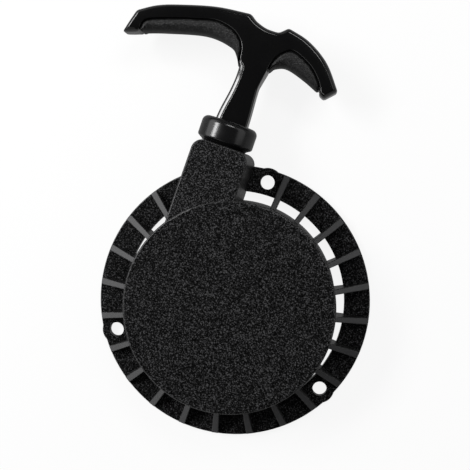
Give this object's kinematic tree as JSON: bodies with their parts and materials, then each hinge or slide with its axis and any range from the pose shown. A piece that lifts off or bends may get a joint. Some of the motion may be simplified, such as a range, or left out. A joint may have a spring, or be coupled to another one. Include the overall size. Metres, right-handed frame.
{
  "type": "recoil starter",
  "caption": "Pull starter for a small engine: ribbed drum housing with side neck, rope reel, recoil spring and pawls, and a T-shaped grip on the rope.",
  "frame": {"origin": "centre of the bolt circle on the mounting face", "axes": "+Z along the reel's axis towards the closed front of the drum, +Y the way the rope is pulled"},
  "size_m": [0.1624, 0.206, 0.032],
  "materials": {
    "housing_plastic": "coarse moulded grain, black",
    "guide_rubber": "smooth semi-gloss black",
    "grip_plastic": "glossy black",
    "grip_soft": "fine grain, dark grey",
    "rope_nylon": "braided nylon",
    "reel_nylon": "natural nylon",
    "spring_steel": "blued spring steel",
    "zinc_steel": "zinc plated",
    "brass": "turned"
  },
  "bodies": {
    "housing": {"housing": "housing_plastic", "post_insert": "brass", "spring_case": "zinc_steel", "spring_case_screws": "zinc_steel", "spring_cover": "zinc_steel", "recoil_spring": "spring_steel", "rope_guide": "guide_rubber", "retaining_washer": "zinc_steel", "centre_screw": "zinc_steel"},
    "reel": {"reel": "reel_nylon", "rope_coil": "rope_nylon", "reel_knot": "rope_nylon", "pawl_pins": "zinc_steel", "pawl_spring_a": "spring_steel", "pawl_spring_b": "spring_steel"},
    "cam": {"cam_plate": "zinc_steel", "friction_spring": "spring_steel"},
    "pawl_a": {"pawl_a": "zinc_steel"},
    "pawl_b": {"pawl_b": "zinc_steel"},
    "rope_end": {"rope_run": "rope_nylon", "knot_washer": "zinc_steel", "handle_knot": "rope_nylon"},
    "grip": {"handle_body": "grip_plastic", "grip_insert_long": "grip_soft", "grip_insert_short": "grip_soft"}
  },
  "joints": [
    {"name": "reel_spin", "type": "hinge", "parent": "housing", "child": "reel", "pos_m": [0, 0, 0.0147], "axis": [0, 0, -1], "range_deg": [0, 1530], "stiffness_Nm_per_rad": 0.005, "springref_deg": -1260.51, "deforming": ["recoil_spring", "rope_coil"]},
    {"name": "handle_pull", "type": "slide", "parent": "housing", "child": "rope_end", "axis": [0, 1, 0], "range_m": [0, 0.6782], "deforming": ["rope_run"]},
    {"name": "grip_swivel", "type": "hinge", "parent": "rope_end", "child": "grip", "pos_m": [-0.029, 0.1, 0.0165], "axis": [0, 1, 0], "continuous": true},
    {"name": "cam_turn", "type": "hinge", "parent": "reel", "child": "cam", "pos_m": [0, 0, 0.0049], "axis": [0, 0, 1], "range_deg": [0, 30]},
    {"name": "pawl_a_swing", "type": "hinge", "parent": "reel", "child": "pawl_a", "pos_m": [0.00775, 0.01342, 0.0076], "axis": [0, 0, 1], "range_deg": [0, 35], "stiffness_Nm_per_rad": 0.001, "springref_deg": -20.05, "deforming": ["pawl_spring_a"]},
    {"name": "pawl_b_swing", "type": "hinge", "parent": "reel", "child": "pawl_b", "pos_m": [-0.00775, -0.01342, 0.0076], "axis": [0, 0, 1], "range_deg": [0, 35], "stiffness_Nm_per_rad": 0.001, "springref_deg": -20.05, "deforming": ["pawl_spring_b"]}
  ],
  "couplings": [
    {"joint": "handle_pull", "follows": "reel_spin", "m_per_rad": 0.0254},
    {"joint": "pawl_a_swing", "follows": "cam_turn", "ratio": 1.1667},
    {"joint": "pawl_b_swing", "follows": "cam_turn", "ratio": 1.1667}
  ]
}
